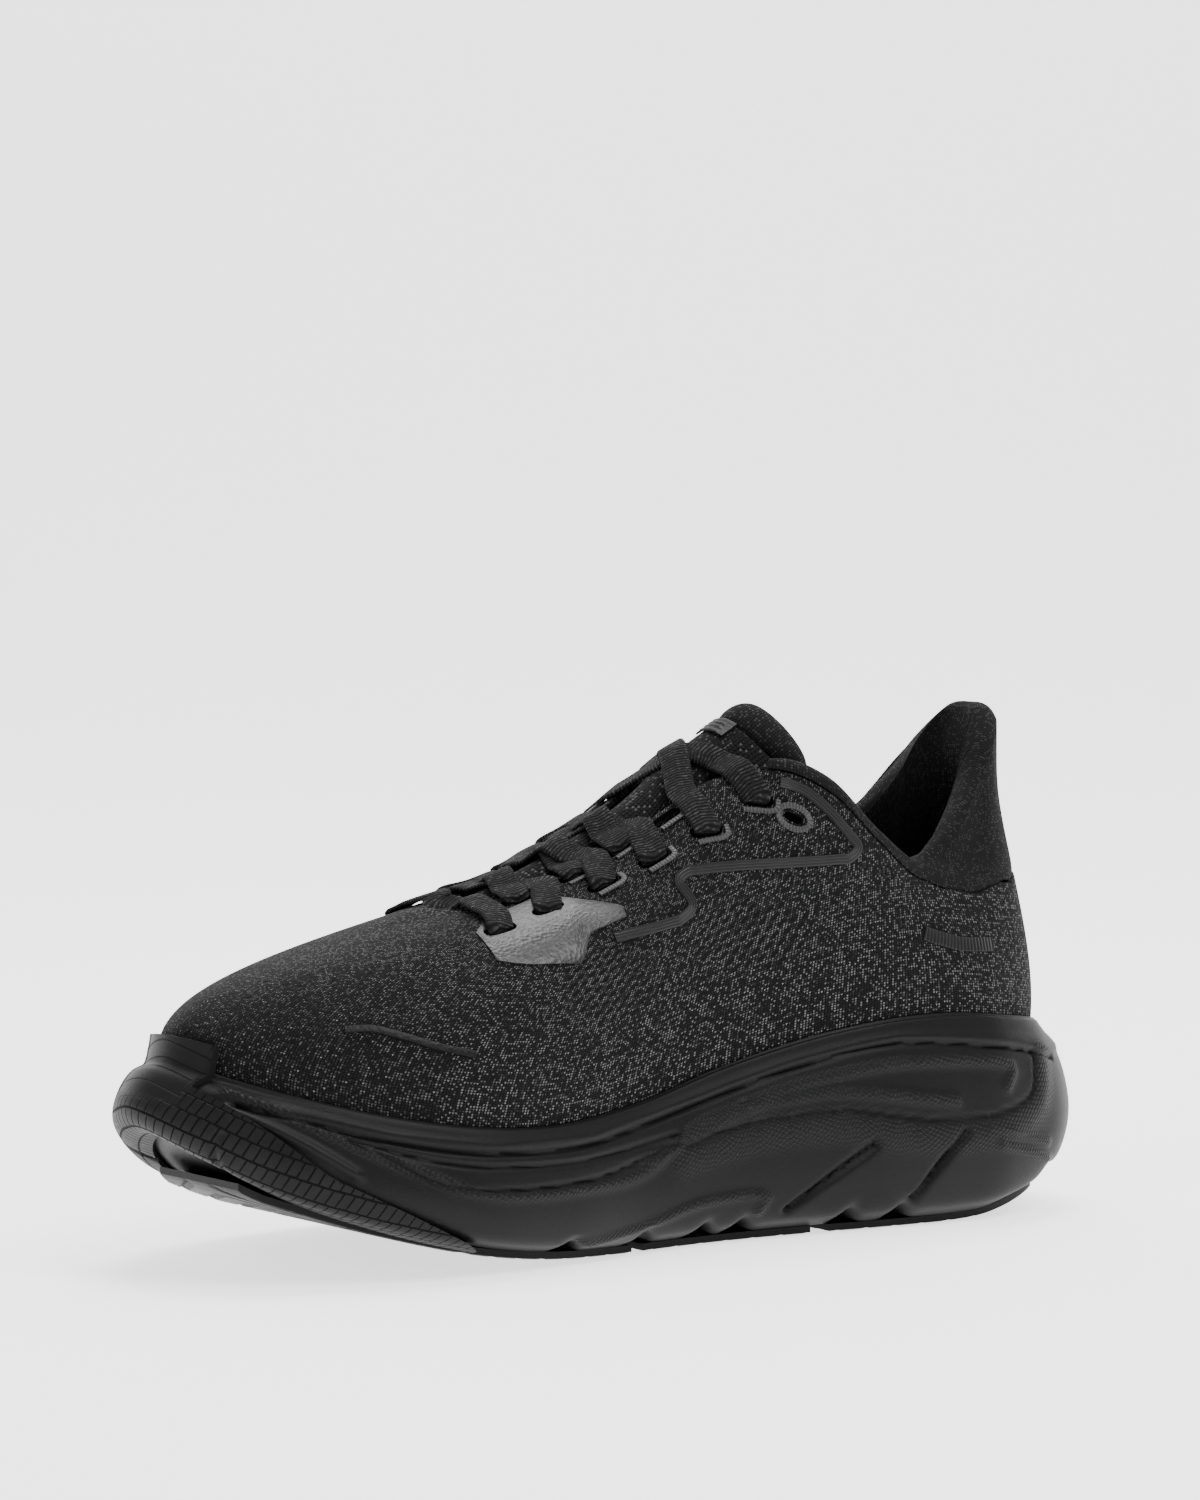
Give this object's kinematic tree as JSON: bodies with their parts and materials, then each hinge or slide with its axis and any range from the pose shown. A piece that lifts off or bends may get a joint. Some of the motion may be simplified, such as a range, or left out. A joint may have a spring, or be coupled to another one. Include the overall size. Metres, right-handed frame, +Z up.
{
  "type": "running shoe",
  "caption": "Low-cut cushioned running shoe with a knit upper, padded collar with a high heel tab, flat lacing, a thick foam midsole and rubber outsole pads.",
  "frame": {"origin": "middle of the shoe's bounding box, on the floor", "axes": "+X towards the toe, +Y towards the inner side of the foot, +Z up"},
  "size_m": [0.302, 0.115, 0.1454],
  "materials": {
    "midsole_foam": "matte",
    "outsole_rubber": "semi-gloss",
    "knit": "knitted",
    "collar_mesh": "fine mesh",
    "strobel_board": "felted",
    "sockliner_cloth": "knitted",
    "stiffener": "matte",
    "collar_padding": "open-cell foam",
    "gloss_film": "satin",
    "reflective_film": "textured metallic",
    "lace_weave": "ribbed weave",
    "lace_tip_plastic": "clear gloss"
  },
  "bodies": {
    "shoe": {"collar_film_lateral": "gloss_film", "collar_film_medial": "gloss_film", "collar_foam": "collar_padding", "collar_lining": "collar_mesh", "eyelet_trim_lateral_1": "reflective_film", "eyelet_trim_lateral_2": "reflective_film", "eyelet_trim_lateral_3": "reflective_film", "eyelet_trim_lateral_4": "reflective_film", "eyelet_trim_lateral_5": "reflective_film", "eyelet_trim_lateral_6": "reflective_film", "eyelet_trim_lateral_7": "reflective_film", "eyelet_trim_medial_1": "reflective_film", "eyelet_trim_medial_2": "reflective_film", "eyelet_trim_medial_3": "reflective_film", "eyelet_trim_medial_4": "reflective_film", "eyelet_trim_medial_5": "reflective_film", "eyelet_trim_medial_6": "reflective_film", "eyelet_trim_medial_7": "reflective_film", "eyestay_tape_lateral": "gloss_film", "eyestay_tape_medial": "gloss_film", "heel_counter": "stiffener", "heel_mark_lateral": "gloss_film", "heel_mark_medial": "gloss_film", "lace": "lace_weave", "lace_patch_lateral": "reflective_film", "lace_patch_medial": "reflective_film", "lace_tip_lateral": "lace_tip_plastic", "lace_tip_medial": "lace_tip_plastic", "midsole": "midsole_foam", "outsole_arch_lateral": "outsole_rubber", "outsole_arch_medial": "outsole_rubber", "outsole_ball_center": "outsole_rubber", "outsole_ball_lateral": "outsole_rubber", "outsole_ball_medial": "outsole_rubber", "outsole_heel_center": "outsole_rubber", "outsole_heel_lateral": "outsole_rubber", "outsole_heel_medial": "outsole_rubber", "outsole_toe": "outsole_rubber", "spare_eyelet_lateral": "reflective_film", "spare_eyelet_medial": "reflective_film", "strobel_board": "strobel_board", "toe_bumper": "outsole_rubber", "toe_print_lateral": "gloss_film", "toe_print_medial": "gloss_film", "toe_puff": "stiffener", "tongue_gusset_lateral": "collar_mesh", "tongue_gusset_medial": "collar_mesh", "upper_knit": "knit"},
    "tongue": {"tongue_body": "knit", "tongue_binding": "collar_mesh", "tongue_label": "gloss_film"},
    "sockliner": {"sockliner": "sockliner_cloth"}
  },
  "joints": [
    {"name": "tongue_tilt", "type": "hinge", "parent": "shoe", "child": "tongue", "pos_m": [0.06957, 0, 0.0815], "axis": [0, -1, 0], "range_deg": [0, 5], "stiffness_Nm_per_rad": 0.4},
    {"name": "sockliner_lift", "type": "hinge", "parent": "shoe", "child": "sockliner", "pos_m": [0.13414, 0, 0.047], "axis": [0, 1, 0], "range_deg": [0, 3]}
  ]
}
